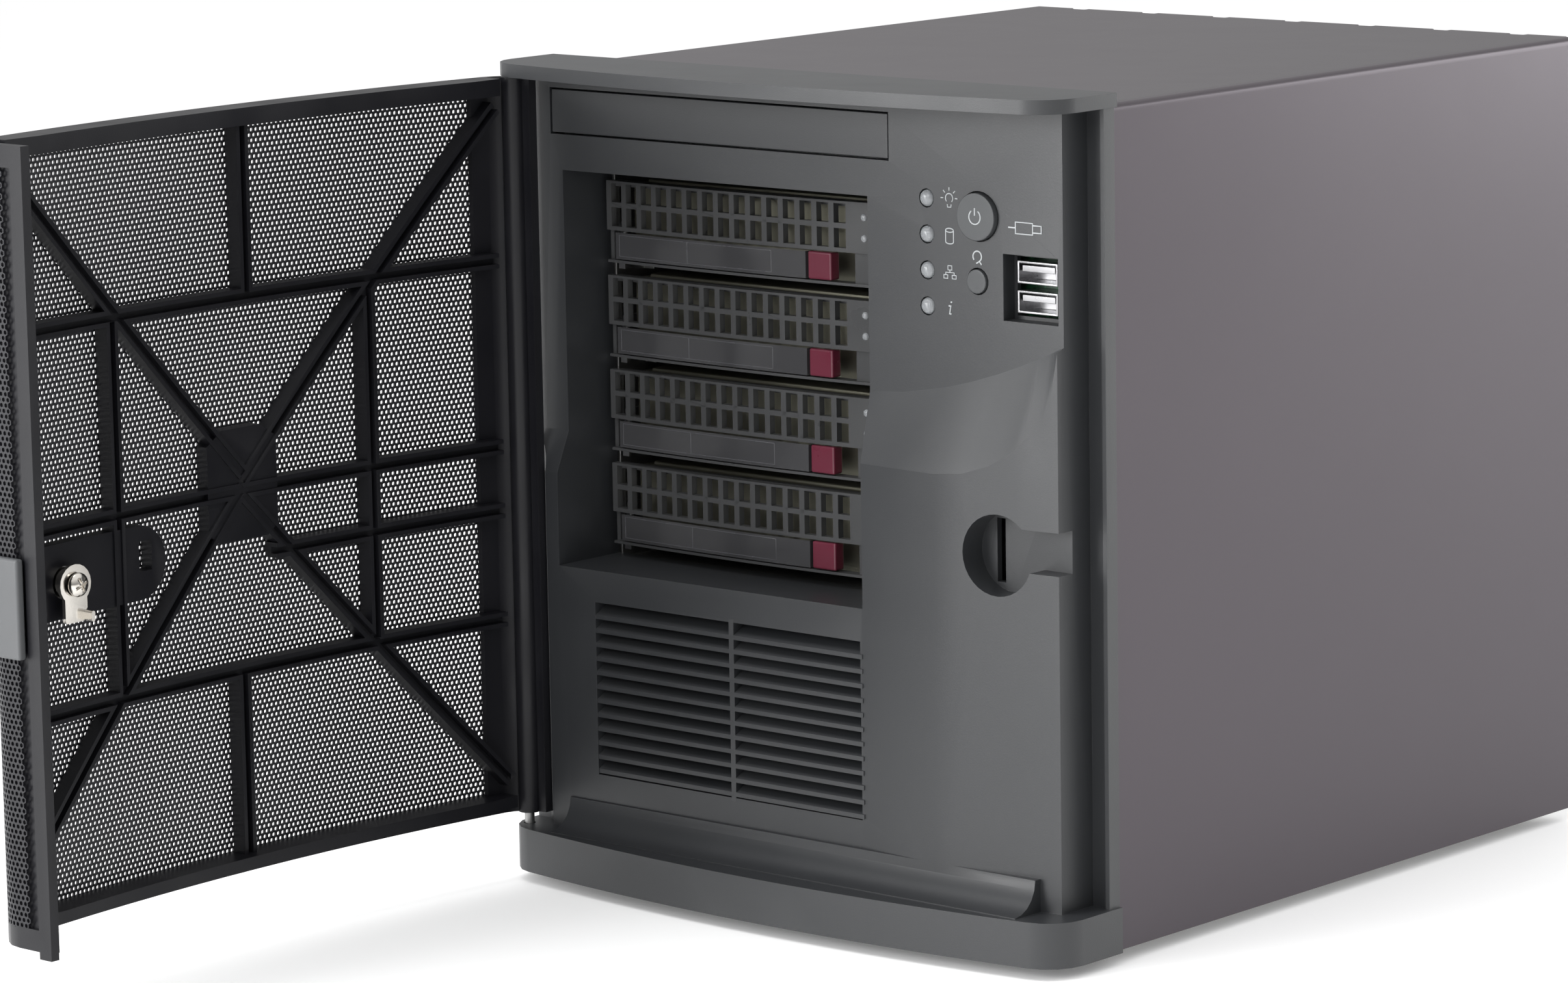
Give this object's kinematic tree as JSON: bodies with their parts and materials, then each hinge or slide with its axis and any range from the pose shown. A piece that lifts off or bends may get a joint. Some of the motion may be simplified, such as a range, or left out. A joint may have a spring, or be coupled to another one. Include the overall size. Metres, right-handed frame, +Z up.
{
  "type": "nas enclosure",
  "caption": "Desktop network storage enclosure with a hinged lockable mesh door, hot-swap drive trays with levers and latches, front controls and a folded steel cover.",
  "frame": {"origin": "middle of the underside of the base pan, half-way along the steel body and half-way across it", "axes": "+X to the right seen from the front, +Y to the back, +Z up"},
  "size_m": [0.2218, 0.4596, 0.2434],
  "materials": {
    "bezel_plastic": "dark grey moulded plastic with a fine grain",
    "door_plastic": "near-black moulded plastic, satin",
    "door_mesh": "perforated steel sheet, dark grey paint",
    "cover_paint": "semi-gloss purple-grey enamel",
    "chassis_steel": "zinc-plated steel sheet",
    "nickel": "nickel plate",
    "foot_rubber": "black rubber",
    "button_plastic": "dark grey plastic, satin",
    "lens": "clear moulded plastic",
    "usb_shell": "bright tinned steel shell with a black tongue",
    "board_green": "green solder mask",
    "tray_plastic": "black glass-filled plastic",
    "lever_gloss": "smoked gloss plastic",
    "latch_red": "maroon plastic",
    "carrier_steel": "stamped steel",
    "drive_metal": "cast aluminium drive case",
    "fan_plastic": "black fan plastic",
    "sink_aluminium": "extruded aluminium"
  },
  "bodies": {
    "chassis": {"base_pan": "chassis_steel", "outer_cover": "cover_paint", "front_panel": "chassis_steel", "rear_panel": "chassis_steel", "foot_1": "foot_rubber", "foot_2": "foot_rubber", "foot_3": "foot_rubber", "foot_4": "foot_rubber", "thumbscrew_left": "nickel", "thumbscrew_right": "nickel", "drive_cage": "chassis_steel", "backplane": "board_green", "rear_fan_frame": "fan_plastic", "power_supply": "chassis_steel", "power_inlet": "fan_plastic", "mainboard": "board_green", "heatsink": "sink_aluminium", "memory_module": "board_green", "io_shield": "chassis_steel", "slot_cover": "chassis_steel", "front_bezel": "bezel_plastic", "optical_bay_cover": "bezel_plastic", "control_board": "board_green", "status_lens_1": "lens", "status_lens_2": "lens", "status_lens_3": "lens", "status_lens_4": "lens", "usb_port_lower": "usb_shell", "usb_port_upper": "usb_shell"},
    "door": {"door_frame": "door_plastic", "door_mesh": "door_mesh", "door_grip": "button_plastic", "door_pin_top": "chassis_steel", "door_pin_bottom": "chassis_steel", "lock_cylinder": "nickel"},
    "door_cam": {"lock_cam": "nickel", "lock_screw": "nickel"},
    "power_key": {"power_button": "button_plastic"},
    "reset_key": {"reset_button": "button_plastic"},
    "rear_rotor": {"rear_fan_rotor": "fan_plastic"},
    "tray_1": {"drive_carrier_1": "carrier_steel", "tray_grille_1": "tray_plastic", "hard_drive_1": "drive_metal"},
    "lever_1": {"tray_lever_1": "lever_gloss"},
    "latch_1": {"tray_latch_1": "latch_red"},
    "tray_2": {"drive_carrier_2": "carrier_steel", "tray_grille_2": "tray_plastic", "hard_drive_2": "drive_metal"},
    "lever_2": {"tray_lever_2": "lever_gloss"},
    "latch_2": {"tray_latch_2": "latch_red"},
    "tray_3": {"drive_carrier_3": "carrier_steel", "tray_grille_3": "tray_plastic", "hard_drive_3": "drive_metal"},
    "lever_3": {"tray_lever_3": "lever_gloss"},
    "latch_3": {"tray_latch_3": "latch_red"},
    "tray_4": {"drive_carrier_4": "carrier_steel", "tray_grille_4": "tray_plastic", "hard_drive_4": "drive_metal"},
    "lever_4": {"tray_lever_4": "lever_gloss"},
    "latch_4": {"tray_latch_4": "latch_red"}
  },
  "joints": [
    {"name": "door_hinge", "type": "hinge", "parent": "chassis", "child": "door", "pos_m": [-0.1005, -0.1345, 0.12], "axis": [0, 0, -1], "range_deg": [-90, 15]},
    {"name": "lock_turn", "type": "hinge", "parent": "door", "child": "door_cam", "pos_m": [-0.1005, -0.3115, 0.112], "axis": [1, 0, 0], "range_deg": [0, 90]},
    {"name": "power_press", "type": "slide", "parent": "chassis", "child": "power_key", "axis": [0, 1, 0], "range_m": [0, 0.0012], "stiffness_N_per_m": 400, "springref_m": -0.0005},
    {"name": "reset_press", "type": "slide", "parent": "chassis", "child": "reset_key", "axis": [0, 1, 0], "range_m": [0, 0.0008], "stiffness_N_per_m": 400, "springref_m": -0.0005},
    {"name": "rear_fan_spin", "type": "hinge", "parent": "chassis", "child": "rear_rotor", "pos_m": [-0.03, 0.0975, 0.15], "axis": [0, 1, 0], "continuous": true},
    {"name": "tray_slide_1", "type": "slide", "parent": "chassis", "child": "tray_1", "axis": [0, -1, 0], "range_m": [0, 0.15]},
    {"name": "lever_swing_1", "type": "hinge", "parent": "tray_1", "child": "lever_1", "pos_m": [-0.0815, -0.1074, 0.1005], "axis": [0, 0, -1], "range_deg": [0, 60]},
    {"name": "latch_press_1", "type": "slide", "parent": "tray_1", "child": "latch_1", "axis": [1, 0, 0], "range_m": [0, 0.0025], "stiffness_N_per_m": 100, "springref_m": -0.0005},
    {"name": "tray_slide_2", "type": "slide", "parent": "chassis", "child": "tray_2", "axis": [0, -1, 0], "range_m": [0, 0.15]},
    {"name": "lever_swing_2", "type": "hinge", "parent": "tray_2", "child": "lever_2", "pos_m": [-0.0815, -0.1074, 0.1285], "axis": [0, 0, -1], "range_deg": [0, 60]},
    {"name": "latch_press_2", "type": "slide", "parent": "tray_2", "child": "latch_2", "axis": [1, 0, 0], "range_m": [0, 0.0025], "stiffness_N_per_m": 100, "springref_m": -0.0005},
    {"name": "tray_slide_3", "type": "slide", "parent": "chassis", "child": "tray_3", "axis": [0, -1, 0], "range_m": [0, 0.15]},
    {"name": "lever_swing_3", "type": "hinge", "parent": "tray_3", "child": "lever_3", "pos_m": [-0.0815, -0.1074, 0.1565], "axis": [0, 0, -1], "range_deg": [0, 60]},
    {"name": "latch_press_3", "type": "slide", "parent": "tray_3", "child": "latch_3", "axis": [1, 0, 0], "range_m": [0, 0.0025], "stiffness_N_per_m": 100, "springref_m": -0.0005},
    {"name": "tray_slide_4", "type": "slide", "parent": "chassis", "child": "tray_4", "axis": [0, -1, 0], "range_m": [0, 0.15]},
    {"name": "lever_swing_4", "type": "hinge", "parent": "tray_4", "child": "lever_4", "pos_m": [-0.0815, -0.1074, 0.1845], "axis": [0, 0, -1], "range_deg": [0, 60]},
    {"name": "latch_press_4", "type": "slide", "parent": "tray_4", "child": "latch_4", "axis": [1, 0, 0], "range_m": [0, 0.0025], "stiffness_N_per_m": 100, "springref_m": -0.0005}
  ]
}
